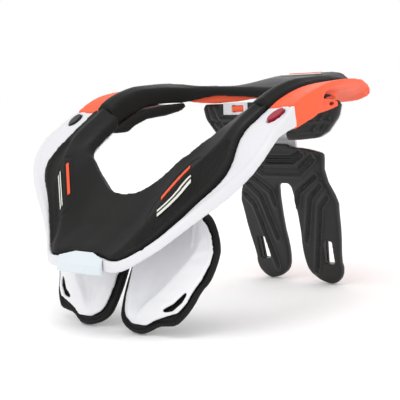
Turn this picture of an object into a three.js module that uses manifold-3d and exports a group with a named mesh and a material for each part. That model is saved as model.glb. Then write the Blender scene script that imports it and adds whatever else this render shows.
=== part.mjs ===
// A motocross neck brace: a collar in two halves that closes round the neck.
// The front half is a white frame with a foam top, two chest shields and a front tag.
// The rear half is an orange shell with a foam ring, shoulder pads, a back pad and a leg panel.
// Millimetres. +Z is up, +X is the rider's left, and the front of the brace faces -Y.
import * as THREE from 'three';
import { mergeVertices } from 'three/addons/utils/BufferGeometryUtils.js';
import Module from 'manifold-3d';

const wasm = await Module();
wasm.setup();

// Driving sizes of the collar
const HALF_WIDTH = 137;
const LENGTH = 331;
const HEIGHT = 197;
const GAP = 0.4;

// Walls and foams
const FRAME_WALL = 4;
const SHELL_WALL = 3;
const FRONT_FOAM = 9;
const RING_FOAM = 7;
const FOAM_PROUD = 1.6;
const RING_PROUD = 0.6;
const FOAM_INSET = 6;
const CURTAIN_WALL = 5;

// The vertical cut between the two halves, and the hinge on the rider's right
const SPLIT_Y = 0.3595 * LENGTH;
const SPLIT_GAP = 0.8;
const CUT_REACH = 400;

// Release button and hinge cap, both ovals set into the ends of the white arms
const BUTTON_LENGTH = 17;
const BUTTON_WIDTH = 9;
const BUTTON_X = 0.8905 * HALF_WIDTH;
const BUTTON_SETBACK = 11.6;
const BUTTON_Y = SPLIT_Y - BUTTON_SETBACK;
const BUTTON_TURN = 0.2;
const BUTTON_DEPTH = 3;
const BUTTON_PROUD = 1.2;
const BUTTON_STROKE = 1.5;

// Front tag
const TAG_HALF = 27;
const TAG_BOTTOM = 0.259 * HEIGHT;
const TAG_FOLD = 0.3045 * HEIGHT;
const TAG_THICK = 4.5;
const TAG_ROLL = 1.2;

// Chest pads and shields, parts that lean back as they rise
const CHEST_BASE_Y = 0.0952 * LENGTH;
const CHEST_HALF = 0.708 * HALF_WIDTH;
const CHEST_HEIGHT = 0.4873 * HEIGHT;
const CHEST_LEAN = 0.145 * LENGTH / CHEST_HEIGHT;
const CHEST_PAD = 6;
const CHEST_BEVEL = 1.5;
const SHIELD_RISE = 8;
const SHIELD_WALL = 2.4;
const BRACKET_X = 0.4 * CHEST_HALF;
const BRACKET_WIDTH = 26;
const BRACKET_DEPTH = 5;
const BRACKET_TOP_Y = 0.202 * LENGTH;
const BRACKET_TOP = 0.535 * HEIGHT;

// Shoulder pads and guards under the rear half
const SHOULDER_INNER = 0.6204 * HALF_WIDTH;
const SHOULDER_OUTER = 0.8248 * HALF_WIDTH;
const SHOULDER_ROUND = 4;
const GUARD_WALL = 3;
const GUARD_HALF = 0.9197 * HALF_WIDTH;
const SLOT_Y = 0.6163 * LENGTH;
const SLOT_Z = 0.8756 * HEIGHT;
const SLOT_LENGTH = 12;
const SLOT_HEIGHT = 3.6;

// Upper back pad and its backing plate, hung behind the neck below the ring
const BACK_PAD_LEAD = 1.3;
const BACK_PAD_DROP = 18.3;
const BACK_PAD_HALF = 0.6058 * HALF_WIDTH;
const BACK_PAD_TALL = 35;
const BACK_PAD_THICK = 9;
const BACK_BEVEL = 2;
const BACK_PLATE = 3;
const NOTCH_HALF = 0.687 * BACK_PAD_HALF;
const NOTCH_DEPTH = 11;
const GROOVE_WIDTH = 2.4;
const GROOVE_DEPTH = 1.6;

// Mount, carriers and pins in the notch of the back pad, and the strut down to the leg panel
const MOUNT_HALF = 24;
const MOUNT_DROP = 17.6;
const MOUNT_EDGE = 1;
const CARRIER_THICK = 6;
const PIN_RADIUS = 3.2;
const PIN_LENGTH = 14;
const PIN_X = 0.458 * BACK_PAD_HALF;
const STRUT_HALF = 14;
const STRUT_THICK = 5;
const STRUT_LAP = 27.5;

// Leg panel, a flat panel with two legs that leans forward as it rises
const LEG_LEAN = -0.2;
const LEG_HALF = 60;
const LEG_GAP = 3.5;
const LEG_SETBACK = 11.9;
const LEG_FOAM = 6;
const LEG_BEVEL = 1;
const LEG_SHELL = 2.5;
const LEG_SHELL_INSET = 3;

// Inlay bars on the front foam and on the rear pad
const INLAY_THICK = 1;
const INLAY_WIDTH = 2.4;

const COLOURS = {
  white: [0xf0f0f4, 0.35],
  orange: [0xff6440, 0.38],
  foam: [0x2e2e2d, 0.85],
  black: [0x1c1c1d, 0.5],
  tag: [0xe4ecf0, 0.3],
  red: [0xa01830, 0.2],
};

const brace = new THREE.Group();

// Adds one named piece to the brace.
function piece(name, geometry, colour) {
  const [color, roughness] = COLOURS[colour];
  const mesh = new THREE.Mesh(geometry, new THREE.MeshStandardMaterial({ color, roughness, metalness: 0 }));
  mesh.name = name;
  brace.add(mesh);
  return mesh;
}

// A value read smoothly from a column of a table, at station t counted from the first row.
function smooth(rows, column, t) {
  const last = rows.length - 1;
  const i = Math.min(Math.floor(t), last - 1);
  const f = t - i;
  const [a, b, c, d] = [i - 1, i, i + 1, i + 2].map((k) => rows[Math.min(Math.max(k, 0), last)][column]);
  const bend = (2 * a - 5 * b + 4 * c - d) * f * f + (3 * b - a - 3 * c + d) * f * f * f;
  return b + 0.5 * ((c - a) * f + bend);
}

// Side profile of the collar, one bent plate from the chest up to the shoulders and the tail.
// Each row holds a share of LENGTH from the front and a share of HEIGHT.
const PROFILE = [
  { along: 0.000, up: 0.295 },
  { along: 0.063, up: 0.378 },
  { along: 0.100, up: 0.449 },
  { along: 0.148, up: 0.563 },
  { along: 0.184, up: 0.650 },
  { along: 0.227, up: 0.734 },
  { along: 0.272, up: 0.799 },
  { along: 0.329, up: 0.858 },
  { along: 0.378, up: 0.906 },
  { along: 0.420, up: 0.937 },
  { along: 0.474, up: 0.962 },
  { along: 0.538, up: 0.975 },
  { along: 0.644, up: 0.980 },
  { along: 0.795, up: 0.971 },
  { along: 0.873, up: 0.957 },
  { along: 0.921, up: 0.942 },
  { along: 0.961, up: 0.911 },
  { along: 1.000, up: 0.876 },
];
const PROFILE_STEPS = 16;
const spine = [];
for (let i = 0; i <= (PROFILE.length - 1) * PROFILE_STEPS; i += 1) {
  const t = i / PROFILE_STEPS;
  spine.push([smooth(PROFILE, 'along', t) * LENGTH, smooth(PROFILE, 'up', t) * HEIGHT]);
}

// Height and slope angle of the plate at a distance y from the front.
function plateAt(y) {
  let i = 0;
  while (i < spine.length - 2 && spine[i + 1][0] < y) i += 1;
  const [y0, z0] = spine[i];
  const [y1, z1] = spine[i + 1];
  const slope = (z1 - z0) / (y1 - y0);
  return { z: z0 + slope * (y - y0), angle: Math.atan(slope) };
}

// A point at x across and y along the plate, lifted off it along its normal and then dropped straight down.
function onPlate(x, y, lift = 0, drop = 0) {
  const { z, angle } = plateAt(y);
  return [x, y - lift * Math.sin(angle), z + lift * Math.cos(angle) - drop];
}

// A closed geometry from points and triangles, with its faces turned outwards.
function closed(points, triangles) {
  let volume = 0;
  for (const [a, b, c] of triangles) {
    const [p, q, r] = [points[a], points[b], points[c]];
    volume += p[0] * (q[1] * r[2] - q[2] * r[1]) + p[1] * (q[2] * r[0] - q[0] * r[2])
      + p[2] * (q[0] * r[1] - q[1] * r[0]);
  }
  const index = triangles.flatMap(([a, b, c]) => (volume > 0 ? [a, b, c] : [a, c, b]));
  const geometry = new THREE.BufferGeometry();
  geometry.setAttribute('position', new THREE.Float32BufferAttribute(points.flat(), 3));
  geometry.setIndex(index);
  geometry.computeVertexNormals();
  return geometry;
}

// A solid lofted through rings of points. The flat outline of a ring is used to close its two ends.
function loft(rings, outlineOf) {
  const n = rings[0].length;
  const triangles = [];
  for (let k = 0; k + 1 < rings.length; k += 1) {
    for (let i = 0; i < n; i += 1) {
      const j = (i + 1) % n;
      triangles.push([k * n + i, k * n + j, (k + 1) * n + j], [k * n + i, (k + 1) * n + j, (k + 1) * n + i]);
    }
  }
  const ends = [[0, false], [rings.length - 1, true]];
  for (const [k, last] of ends) {
    const outline = rings[k].map((point) => new THREE.Vector2(...outlineOf(point)));
    const turned = THREE.ShapeUtils.isClockWise(outline) ? [...outline].reverse() : outline;
    const flipped = turned !== outline;
    for (const [a, b, c] of THREE.ShapeUtils.triangulateShape(turned, [])) {
      const ids = [a, b, c].map((id) => k * n + (flipped ? n - 1 - id : id));
      const area = turnOf(ids.map((id) => outline[id - k * n]));
      const along = (area > 0) === (turnOf(outline) > 0);
      triangles.push(along === last ? ids : [ids[0], ids[2], ids[1]]);
    }
  }
  return closed(rings.flat(), triangles);
}

// Twice the signed area of a flat outline.
function turnOf(outline) {
  return outline.reduce((sum, p, i) => {
    const q = outline[(i + 1) % outline.length];
    return sum + p.x * q.y - p.y * q.x;
  }, 0);
}

// Solids for joining and cutting.
function solidOf(geometry) {
  const bare = geometry.clone();
  bare.deleteAttribute('normal');
  bare.deleteAttribute('uv');
  const merged = mergeVertices(bare, 1e-4);
  return new wasm.Manifold(new wasm.Mesh({
    numProp: 3,
    vertProperties: new Float32Array(merged.attributes.position.array),
    triVerts: new Uint32Array(merged.index.array),
  }));
}

function geometryOf(solid) {
  const mesh = solid.getMesh();
  const geometry = new THREE.BufferGeometry();
  geometry.setAttribute('position', new THREE.BufferAttribute(mesh.vertProperties, 3));
  geometry.setIndex(new THREE.BufferAttribute(mesh.triVerts, 1));
  geometry.computeVertexNormals();
  return geometry;
}

function boxAt(x, y, z, width, depth, height) {
  const box = new THREE.BoxGeometry(width, depth, height);
  box.translate(x, y, z);
  return box;
}

// What lies in front of the cut between the halves, or behind it.
function beforeSplit(geometry) {
  const rear = boxAt(0, SPLIT_Y + CUT_REACH / 2, 0, 2 * CUT_REACH, CUT_REACH, 2 * CUT_REACH);
  return geometryOf(solidOf(geometry).subtract(solidOf(rear)));
}

function behindSplit(geometry) {
  const front = boxAt(0, SPLIT_Y + SPLIT_GAP - CUT_REACH / 2, 0, 2 * CUT_REACH, CUT_REACH, 2 * CUT_REACH);
  return geometryOf(solidOf(geometry).subtract(solidOf(front)));
}

// A left piece mirrored to the rider's right.
function mirrored(geometry) {
  const copy = geometry.index ? geometry.toNonIndexed() : geometry.clone();
  copy.scale(-1, 1, 1);
  const position = copy.attributes.position;
  for (let i = 0; i < position.count; i += 3) {
    const b = new THREE.Vector3().fromBufferAttribute(position, i + 1);
    const c = new THREE.Vector3().fromBufferAttribute(position, i + 2);
    position.setXYZ(i + 1, c.x, c.y, c.z);
    position.setXYZ(i + 2, b.x, b.y, b.z);
  }
  copy.deleteAttribute('uv');
  copy.deleteAttribute('normal');
  const merged = mergeVertices(copy, 1e-4);
  merged.computeVertexNormals();
  return merged;
}

function bothSides(name, geometry, colour) {
  piece(`${name}_left`, geometry, colour);
  piece(`${name}_right`, mirrored(geometry), colour);
}

// Stations of the front half, from its middle to the end of an arm. The widths are shares of
// HALF_WIDTH, the places along it shares of LENGTH and the lifts and drops shares of FRONT_FOAM.
const FRONT = [
  { innerX: 0.000, innerY: 0.151, ridgeX: 0.000, ridgeY: 0.045, foamX: 0.000, foamY: 0.035,
    edgeX: 0.000, edgeY: 0.020, innerLift: -0.60, ridgeLift: 0.15, rim: 1.0 },
  { innerX: 0.088, innerY: 0.153, ridgeX: 0.110, ridgeY: 0.044, foamX: 0.110, foamY: 0.034,
    edgeX: 0.170, edgeY: 0.018, innerLift: -0.58, ridgeLift: 0.15, rim: 1.0 },
  { innerX: 0.175, innerY: 0.161, ridgeX: 0.266, ridgeY: 0.030, foamX: 0.290, foamY: 0.026,
    edgeX: 0.318, edgeY: 0.022, innerLift: -0.54, ridgeLift: 0.30, rim: 1.0 },
  { innerX: 0.263, innerY: 0.176, ridgeX: 0.330, ridgeY: 0.070, foamX: 0.438, foamY: 0.069,
    edgeX: 0.455, edgeY: 0.064, innerLift: -0.50, ridgeLift: 0.40, rim: 1.0 },
  { innerX: 0.336, innerY: 0.191, ridgeX: 0.399, ridgeY: 0.112, foamX: 0.569, foamY: 0.112,
    edgeX: 0.606, edgeY: 0.105, innerLift: -0.25, ridgeLift: 0.40, rim: 1.0 },
  { innerX: 0.401, innerY: 0.207, ridgeX: 0.453, ridgeY: 0.140, foamX: 0.679, foamY: 0.144,
    edgeX: 0.752, edgeY: 0.138, innerLift: 0.00, ridgeLift: 0.45, rim: 1.0 },
  { innerX: 0.456, innerY: 0.219, ridgeX: 0.536, ridgeY: 0.167, foamX: 0.774, foamY: 0.171,
    edgeX: 0.892, edgeY: 0.170, innerLift: 0.05, ridgeLift: 0.58, rim: 1.0 },
  { innerX: 0.489, innerY: 0.240, ridgeX: 0.620, ridgeY: 0.202, foamX: 0.802, foamY: 0.199,
    edgeX: 0.975, edgeY: 0.203, innerLift: 0.00, ridgeLift: 0.50, rim: 0.9 },
  { innerX: 0.509, innerY: 0.267, ridgeX: 0.664, ridgeY: 0.240, foamX: 0.762, foamY: 0.245,
    edgeX: 1.000, edgeY: 0.244, innerLift: -0.30, ridgeLift: 0.30, rim: 0.9 },
  { innerX: 0.523, innerY: 0.298, ridgeX: 0.664, ridgeY: 0.284, foamX: 0.747, foamY: 0.286,
    edgeX: 0.988, edgeY: 0.284, innerLift: -0.40, ridgeLift: 0.30, rim: 1.0 },
  { innerX: 0.536, innerY: 0.332, ridgeX: 0.661, ridgeY: 0.325, foamX: 0.757, foamY: 0.326,
    edgeX: 0.982, edgeY: 0.324, innerLift: -0.50, ridgeLift: 0.32, rim: 1.4 },
  { innerX: 0.565, innerY: 0.380, ridgeX: 0.680, ridgeY: 0.380, foamX: 0.762, foamY: 0.380,
    edgeX: 0.958, edgeY: 0.380, innerLift: -0.40, ridgeLift: 0.38, rim: 2.3 },
];
const FRONT_STEPS = 3;

// Values of a row of the front table at station t, in millimetres, with the side's sign on the widths.
function frontAt(t, side) {
  const row = {};
  const read = (keys, size) => keys.forEach((key) => { row[key] = size * smooth(FRONT, key, t); });
  read(['innerX', 'ridgeX', 'foamX', 'edgeX'], side * HALF_WIDTH);
  read(['innerY', 'ridgeY', 'foamY', 'edgeY'], LENGTH);
  read(['innerLift', 'ridgeLift', 'rim'], FRONT_FOAM);
  return row;
}

// Rings round the U from the right arm through the middle to the left arm.
function frontRings(ring) {
  const last = (FRONT.length - 1) * FRONT_STEPS;
  const rings = [];
  for (let k = -last; k <= last; k += 1) {
    const side = Math.sign(k);
    rings.push(ring(frontAt(Math.abs(k) / FRONT_STEPS, side), side));
  }
  return rings;
}

const acrossAndUp = (point) => [point[0], point[2]];

// White frame: a shelf under the foam, a step up to the bare band, and the rim below the band's edge.
function frontFrame() {
  const shelf = -FRONT_FOAM - GAP;
  const rings = frontRings((r, side) => {
    const shelfX = r.innerX + side * FOAM_INSET;
    const shelfY = r.innerY - FOAM_INSET;
    return [
      onPlate(shelfX, shelfY, shelf + r.innerLift),
      onPlate(r.foamX + side * GAP, r.foamY - GAP, shelf),
      onPlate(r.foamX + side * GAP, r.foamY - GAP, -FOAM_PROUD),
      onPlate(r.edgeX, r.edgeY, 0),
      onPlate(r.edgeX + side, r.edgeY, 0, r.rim),
      onPlate(r.foamX, r.foamY + FRAME_WALL, shelf - FRAME_WALL),
      onPlate(shelfX, shelfY, shelf - FRAME_WALL + r.innerLift),
    ];
  });
  return beforeSplit(loft(rings, acrossAndUp));
}

// Front foam: rounded inner lip, a flat that rises to the ridge, and the ribbed outer zone.
function frontFoam() {
  const rings = frontRings((r, side) => {
    const halfX = 0.5 * (r.innerX + r.ridgeX);
    const halfY = 0.5 * (r.innerY + r.ridgeY);
    return [
      onPlate(r.innerX + side * FOAM_INSET, r.innerY - FOAM_INSET, r.innerLift - FRONT_FOAM),
      onPlate(r.foamX, r.foamY, -FRONT_FOAM),
      onPlate(r.foamX, r.foamY, FOAM_PROUD),
      onPlate(0.5 * (r.ridgeX + r.foamX), 0.5 * (r.ridgeY + r.foamY), 0.2 * r.ridgeLift),
      onPlate(r.ridgeX, r.ridgeY, r.ridgeLift),
      onPlate(halfX, halfY, 0.3 * r.ridgeLift + 0.5 * r.innerLift),
      onPlate(r.innerX, r.innerY, r.innerLift),
      onPlate(r.innerX, r.innerY, r.innerLift - FRONT_FOAM),
    ];
  });
  return beforeSplit(loft(rings, acrossAndUp));
}

// Ovals at the ends of the arms, standing on the plate: a pocket is cut for each.
function oval(side, grow, low, high) {
  const shape = new THREE.Shape();
  shape.absellipse(0, 0, BUTTON_LENGTH / 2 + grow, BUTTON_WIDTH / 2 + grow, 0, 2 * Math.PI);
  const depth = high - low;
  const geometry = new THREE.ExtrudeGeometry(shape, { depth, bevelEnabled: false, curveSegments: 10 });
  const { z, angle } = plateAt(BUTTON_Y);
  geometry.translate(0, 0, low);
  geometry.rotateZ(Math.PI / 2 - side * BUTTON_TURN);
  geometry.rotateX(angle);
  geometry.translate(side * BUTTON_X, BUTTON_Y, z);
  return geometry;
}

const POCKET_FLOOR = -BUTTON_DEPTH - BUTTON_STROKE - GAP;
const pockets = [1, -1].map((side) => solidOf(oval(side, GAP, POCKET_FLOOR, CUT_REACH / 10)));
const frame = pockets.reduce((solid, pocket) => solid.subtract(pocket), solidOf(frontFrame()));
piece('front_frame', geometryOf(frame), 'white');
const chestFoam = frontFoam();
piece('front_foam', chestFoam, 'foam');
piece('release_button', oval(1, 0, -BUTTON_DEPTH, BUTTON_PROUD), 'red');
piece('hinge_cap', oval(-1, 0, POCKET_FLOOR + GAP, BUTTON_PROUD / 2), 'black');

// Front tag: a rolled face over the rim, and a hump that lies back on the foam's slope.
// Each row holds a share of TAG_HALF across and how far the hump has risen.
const TAG = [
  { across: -1.00, hump: 0.00 },
  { across: -0.92, hump: 0.08 },
  { across: -0.40, hump: 1.00 },
  { across: 0.40, hump: 1.00 },
  { across: 0.92, hump: 0.08 },
  { across: 1.00, hump: 0.00 },
];
function frontTag() {
  const humpY = FRONT[0].foamY * LENGTH - 2 * GAP;
  const edgeY = Math.min(FRONT[0].edgeY, FRONT[1].edgeY) * LENGTH;
  const back = edgeY - 2 * GAP;
  const rings = TAG.map((row) => {
    const x = row.across * TAG_HALF;
    const front = back - TAG_THICK + TAG_ROLL * row.across * row.across;
    const topY = THREE.MathUtils.lerp(edgeY + GAP, humpY, row.hump);
    return [
      [x, back, TAG_BOTTOM],
      [x, front + TAG_ROLL, TAG_BOTTOM],
      [x, front, TAG_BOTTOM + TAG_ROLL],
      [x, front, TAG_FOLD - TAG_ROLL],
      [x, front + TAG_ROLL, TAG_FOLD],
      onPlate(x, topY, FOAM_PROUD + GAP),
      onPlate(x, topY, GAP),
      onPlate(x, back, GAP),
    ];
  });
  return loft(rings, (point) => [point[1], point[2]]);
}
piece('front_tag', frontTag(), 'tag');

// Stations of the rear half, from the cut round to the middle of the back. Widths are shares of
// HALF_WIDTH, places along shares of LENGTH, and lifts, curtain and rim shares of RING_FOAM.
// The two humps lie between the ring's ridge and the foam's outer edge, at shares of that way.
const REAR = [
  { wallX: 0.600, wallY: 0.340, ridgeX: 0.680, ridgeY: 0.340, foamX: 0.760, foamY: 0.340,
    edgeX: 0.960, edgeY: 0.340, ridge: 0.50, hump: 0.52, crest: 0.20, crestAt: 0.75,
    curtain: 2.0, rim: 2.6, band: 0.1 },
  { wallX: 0.620, wallY: 0.387, ridgeX: 0.686, ridgeY: 0.387, foamX: 0.766, foamY: 0.387,
    edgeX: 0.964, edgeY: 0.387, ridge: 0.65, hump: 0.62, crest: 0.20, crestAt: 0.75,
    curtain: 2.1, rim: 3.0, band: 0.1 },
  { wallX: 0.628, wallY: 0.423, ridgeX: 0.686, ridgeY: 0.423, foamX: 0.770, foamY: 0.423,
    edgeX: 0.974, edgeY: 0.423, ridge: 0.70, hump: 0.62, crest: 0.15, crestAt: 0.75,
    curtain: 2.1, rim: 3.1, band: 0.1 },
  { wallX: 0.628, wallY: 0.450, ridgeX: 0.686, ridgeY: 0.450, foamX: 0.774, foamY: 0.450,
    edgeX: 0.975, edgeY: 0.450, ridge: 0.70, hump: 0.62, crest: 0.10, crestAt: 0.75,
    curtain: 2.0, rim: 2.8, band: 0.1 },
  { wallX: 0.628, wallY: 0.468, ridgeX: 0.686, ridgeY: 0.468, foamX: 0.774, foamY: 0.468,
    edgeX: 0.972, edgeY: 0.466, ridge: 0.70, hump: 0.62, crest: 0.10, crestAt: 0.75,
    curtain: 1.9, rim: 1.7, band: 0.1 },
  { wallX: 0.628, wallY: 0.486, ridgeX: 0.686, ridgeY: 0.486, foamX: 0.773, foamY: 0.486,
    edgeX: 0.962, edgeY: 0.484, ridge: 0.68, hump: 0.62, crest: 0.10, crestAt: 0.75,
    curtain: 1.8, rim: 1.0, band: 0.1 },
  { wallX: 0.628, wallY: 0.530, ridgeX: 0.686, ridgeY: 0.530, foamX: 0.766, foamY: 0.530,
    edgeX: 0.932, edgeY: 0.530, ridge: 0.55, hump: 0.54, crest: 0.10, crestAt: 0.75,
    curtain: 1.7, rim: 0.8, band: 0.1 },
  { wallX: 0.628, wallY: 0.590, ridgeX: 0.686, ridgeY: 0.592, foamX: 0.754, foamY: 0.594,
    edgeX: 0.884, edgeY: 0.594, ridge: 0.45, hump: 0.47, crest: 0.10, crestAt: 0.75,
    curtain: 1.7, rim: 0.7, band: 0.2 },
  { wallX: 0.620, wallY: 0.642, ridgeX: 0.682, ridgeY: 0.650, foamX: 0.736, foamY: 0.656,
    edgeX: 0.820, edgeY: 0.662, ridge: 0.25, hump: 0.37, crest: 0.10, crestAt: 0.75,
    curtain: 1.8, rim: 0.7, band: 0.4 },
  { wallX: 0.590, wallY: 0.682, ridgeX: 0.640, ridgeY: 0.692, foamX: 0.698, foamY: 0.712,
    edgeX: 0.760, edgeY: 0.718, ridge: 0.10, hump: 0.05, crest: 0.05, crestAt: 0.75,
    curtain: 1.5, rim: 0.7, band: 0.8 },
  { wallX: 0.520, wallY: 0.706, ridgeX: 0.548, ridgeY: 0.716, foamX: 0.640, foamY: 0.760,
    edgeX: 0.700, edgeY: 0.768, ridge: -0.05, hump: -0.35, crest: -0.15, crestAt: 0.75,
    curtain: 1.1, rim: 0.7, band: 1.0 },
  { wallX: 0.430, wallY: 0.713, ridgeX: 0.438, ridgeY: 0.724, foamX: 0.570, foamY: 0.802,
    edgeX: 0.634, edgeY: 0.815, ridge: -0.15, hump: -0.45, crest: -0.20, crestAt: 0.75,
    curtain: 1.0, rim: 0.7, band: 1.0 },
  { wallX: 0.335, wallY: 0.715, ridgeX: 0.335, ridgeY: 0.726, foamX: 0.500, foamY: 0.848,
    edgeX: 0.562, edgeY: 0.866, ridge: -0.25, hump: -0.35, crest: 0.05, crestAt: 0.78,
    curtain: 1.1, rim: 0.7, band: 0.9 },
  { wallX: 0.240, wallY: 0.716, ridgeX: 0.240, ridgeY: 0.727, foamX: 0.428, foamY: 0.890,
    edgeX: 0.500, edgeY: 0.914, ridge: -0.35, hump: 0.05, crest: 0.65, crestAt: 0.82,
    curtain: 1.2, rim: 0.6, band: 0.8 },
  { wallX: 0.160, wallY: 0.717, ridgeX: 0.160, ridgeY: 0.728, foamX: 0.330, foamY: 0.926,
    edgeX: 0.440, edgeY: 0.958, ridge: -0.42, hump: 0.50, crest: 1.45, crestAt: 0.86,
    curtain: 1.3, rim: 0.5, band: 0.6 },
  { wallX: 0.100, wallY: 0.717, ridgeX: 0.100, ridgeY: 0.728, foamX: 0.215, foamY: 0.940,
    edgeX: 0.330, edgeY: 0.985, ridge: -0.50, hump: 0.70, crest: 1.90, crestAt: 0.88,
    curtain: 1.4, rim: 0.5, band: 0.5 },
  { wallX: 0.050, wallY: 0.717, ridgeX: 0.050, ridgeY: 0.728, foamX: 0.108, foamY: 0.942,
    edgeX: 0.165, edgeY: 0.997, ridge: -0.55, hump: 0.70, crest: 1.95, crestAt: 0.88,
    curtain: 1.4, rim: 0.5, band: 0.4 },
  { wallX: 0.000, wallY: 0.717, ridgeX: 0.000, ridgeY: 0.728, foamX: 0.000, foamY: 0.943,
    edgeX: 0.000, edgeY: 1.000, ridge: -0.57, hump: 0.70, crest: 1.95, crestAt: 0.88,
    curtain: 1.4, rim: 0.5, band: 0.4 },
];
const REAR_STEPS = 2;

function rearAt(t, side) {
  const row = {};
  const read = (keys, size) => keys.forEach((key) => { row[key] = size * smooth(REAR, key, t); });
  read(['wallX', 'ridgeX', 'foamX', 'edgeX'], side * HALF_WIDTH);
  read(['wallY', 'ridgeY', 'foamY', 'edgeY'], LENGTH);
  read(['ridge', 'hump', 'crest', 'curtain', 'rim', 'band'], RING_FOAM);
  row.crestAt = smooth(REAR, 'crestAt', t);
  return row;
}

// Rings round the U from the left cut through the tail to the right cut.
function rearRings(ring) {
  const last = (REAR.length - 1) * REAR_STEPS;
  const rings = [];
  for (let k = -last; k <= last; k += 1) {
    const side = -Math.sign(k);
    rings.push(ring(rearAt((last - Math.abs(k)) / REAR_STEPS, side), side));
  }
  return rings;
}

// Orange shell: a ledge under the foam, the bare band, and the skirt or rim that hangs from its edge.
function rearShell() {
  const ledge = -RING_FOAM - GAP;
  const rings = rearRings((r, side) => {
    const toEdge = new THREE.Vector2(r.edgeX - r.foamX, r.edgeY - r.foamY).normalize();
    const toWall = new THREE.Vector2(r.foamX - r.wallX, r.foamY - r.wallY).normalize();
    const ledgeX = r.wallX + toWall.x * (CURTAIN_WALL + GAP);
    const ledgeY = r.wallY + toWall.y * (CURTAIN_WALL + GAP);
    const band = Math.min(0, ledge + 2);
    return [
      onPlate(ledgeX, ledgeY, ledge),
      onPlate(r.foamX + toEdge.x * GAP, r.foamY + toEdge.y * GAP, ledge),
      onPlate(r.foamX + toEdge.x * GAP, r.foamY + toEdge.y * GAP, -FOAM_PROUD),
      onPlate(r.edgeX, r.edgeY, 0),
      onPlate(r.edgeX - toEdge.x, r.edgeY - toEdge.y, 0, r.rim),
      onPlate(r.edgeX - toEdge.x * (1 + SHELL_WALL), r.edgeY - toEdge.y * (1 + SHELL_WALL), 0, r.rim),
      onPlate(r.edgeX - toEdge.x * SHELL_WALL, r.edgeY - toEdge.y * SHELL_WALL, band - SHELL_WALL * 0.2),
      onPlate(r.foamX, r.foamY, ledge - SHELL_WALL),
      onPlate(ledgeX + toWall.x * SHELL_WALL, ledgeY + toWall.y * SHELL_WALL, ledge - SHELL_WALL),
      onPlate(ledgeX + toWall.x * SHELL_WALL, ledgeY + toWall.y * SHELL_WALL, ledge - SHELL_WALL, r.band),
      onPlate(ledgeX, ledgeY, ledge - SHELL_WALL, r.band),
    ];
  });
  return behindSplit(loft(rings, acrossAndUp));
}

// Ring foam: a rounded top between the ridge and the outer edge, and a curtain down the neck side.
function rearFoam() {
  const rings = rearRings((r) => {
    const toWall = new THREE.Vector2(r.foamX - r.wallX, r.foamY - r.wallY).normalize();
    const backX = r.wallX + toWall.x * CURTAIN_WALL;
    const backY = r.wallY + toWall.y * CURTAIN_WALL;
    const across = (share) => [
      THREE.MathUtils.lerp(r.ridgeX, r.foamX, share),
      THREE.MathUtils.lerp(r.ridgeY, r.foamY, share),
    ];
    return [
      onPlate(backX, backY, -RING_FOAM),
      onPlate(r.foamX, r.foamY, -RING_FOAM),
      onPlate(r.foamX, r.foamY, RING_PROUD),
      onPlate(...across(r.crestAt), r.crest + RING_PROUD),
      onPlate(...across(0.45), r.hump + RING_PROUD),
      onPlate(r.ridgeX, r.ridgeY, r.ridge),
      onPlate(r.wallX, r.wallY, r.ridge - RING_FOAM / 2),
      onPlate(r.wallX, r.wallY, r.ridge - RING_FOAM / 2, r.curtain / 2),
      onPlate(r.wallX + toWall.x, r.wallY + toWall.y, -RING_FOAM, r.curtain - RING_FOAM / 2),
      onPlate(backX, backY, -RING_FOAM, r.curtain - RING_FOAM / 2),
    ];
  });
  return behindSplit(loft(rings, acrossAndUp));
}
const ringFoam = rearFoam();
const orangeShell = rearShell();
piece('rear_shell', orangeShell, 'orange');
piece('rear_foam', ringFoam, 'foam');

// A flat outline raised into a panel that stands on the x-z plane and leans along y.
// Rows hold shares of the given half width and of a height above the given floor.
function pointsOf(rows, half, floor, height) {
  return rows.map((row) => [row.across * half, floor + row.up * height]);
}
const bothHalves = (points) => {
  const left = points.map(([x, z]) => [-x, z]).filter(([x]) => x !== 0).reverse();
  return [...points, ...left];
};

function standing(points, holes, depth, bevel, baseY, lean, start = 0) {
  const outline = points.map(([x, z]) => new THREE.Vector2(x, z));
  const shape = new THREE.Shape(outline.filter((p, i) => i === 0 || p.distanceTo(outline[i - 1]) > GAP / 10));
  shape.holes = holes.map((hole) => new THREE.Path(hole.map(([x, z]) => new THREE.Vector2(x, z))));
  const flat = new THREE.ExtrudeGeometry(shape, {
    depth: depth - 2 * bevel,
    bevelEnabled: bevel > 0,
    bevelThickness: bevel,
    bevelSize: bevel,
    bevelOffset: -bevel,
    bevelSegments: 1,
    curveSegments: 8,
  });
  flat.deleteAttribute('uv');
  flat.deleteAttribute('normal');
  const merged = mergeVertices(flat, 1e-4);
  const position = merged.attributes.position;
  const moved = [];
  for (let i = 0; i < position.count; i += 1) {
    const z = position.getY(i);
    moved.push([position.getX(i), baseY + lean * z + start + bevel + position.getZ(i), z]);
  }
  const index = Array.from(merged.index.array);
  const triangles = [];
  for (let i = 0; i < index.length; i += 3) triangles.push(index.slice(i, i + 3));
  return closed(moved, triangles);
}

// An outline with each corner cut back a quarter of the way to its neighbours, and then set on the floor.
const softened = (points) => points.flatMap((point, i) => {
  const next = points[(i + 1) % points.length];
  const between = (share) => [0, 1].map((k) => THREE.MathUtils.lerp(point[k], next[k], share));
  return [between(0.25), between(0.75)];
});
const settled = (points) => {
  const lowest = Math.min(...points.map(([, z]) => z));
  return points.map(([x, z]) => [x, z - lowest]);
};

// An outline drawn in by a distance, each point moved along the normal of its neighbours.
function drawnIn(points, inset) {
  const n = points.length;
  const turn = turnOf(points.map(([x, y]) => new THREE.Vector2(x, y))) > 0 ? 1 : -1;
  return points.map((point, i) => {
    const before = points[(i + n - 1) % n];
    const after = points[(i + 1) % n];
    const way = new THREE.Vector2(after[0] - before[0], after[1] - before[1]).normalize();
    return [point[0] - turn * way.y * inset, point[1] + turn * way.x * inset];
  });
}

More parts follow.
